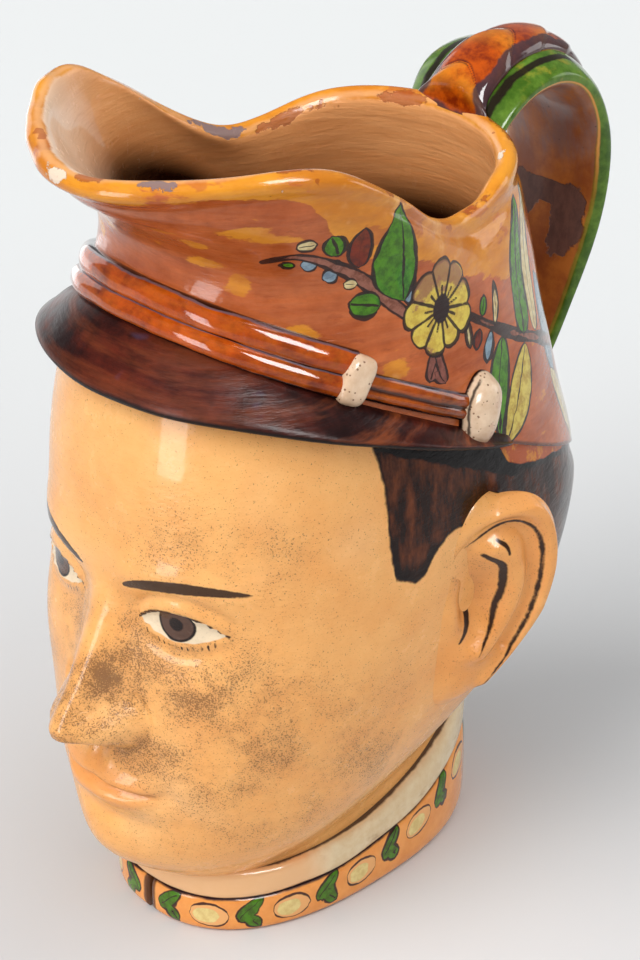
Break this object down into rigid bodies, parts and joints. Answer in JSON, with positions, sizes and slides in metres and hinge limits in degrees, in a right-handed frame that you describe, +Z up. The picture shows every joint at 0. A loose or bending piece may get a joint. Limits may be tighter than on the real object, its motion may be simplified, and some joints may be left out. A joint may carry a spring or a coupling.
{
  "type": "figural pitcher",
  "caption": "Glazed earthenware pitcher shaped as a man's head in a peaked cap, with a broad strap handle behind and a pouring mouth in the cap's crown.",
  "frame": {"origin": "middle of the flat foot, on the surface that the pitcher stands on", "axes": "+Z up; the face and the spout look along -Y and the handle is at +Y; +X is the head's left"},
  "size_m": [0.1408, 0.2022, 0.2395],
  "materials": {
    "skin_glaze": "glazed, painted skin tone",
    "bare_clay": "unglazed biscuit",
    "cap_glaze": "glazed, brushed rust red with painted flowers",
    "visor_glaze": "glazed, dark brown",
    "cord_glaze": "glossy burnt orange",
    "cream_glaze": "glazed, cream",
    "handle_glaze": "glazed, green edges and rust inside",
    "crest_glaze": "glossy amber brown",
    "collar_glaze": "glazed orange with a painted leaf band"
  },
  "bodies": {
    "root": {"head_shell": "skin_glaze", "base_floor": "bare_clay", "cap_wall": "cap_glaze", "visor": "visor_glaze", "upper_strap": "cord_glaze", "lower_strap": "cord_glaze", "rear_strap_left": "cord_glaze", "rear_strap_right": "cord_glaze", "strap_keeper_left": "cream_glaze", "strap_keeper_right": "cream_glaze", "strap_button_left": "cream_glaze", "strap_button_right": "cream_glaze", "ear_left": "skin_glaze", "ear_right": "skin_glaze", "handle_strap": "handle_glaze", "handle_crest": "crest_glaze", "shirt_collar": "cream_glaze", "tunic_collar_left": "collar_glaze", "tunic_collar_right": "collar_glaze"}
  },
  "joints": []
}
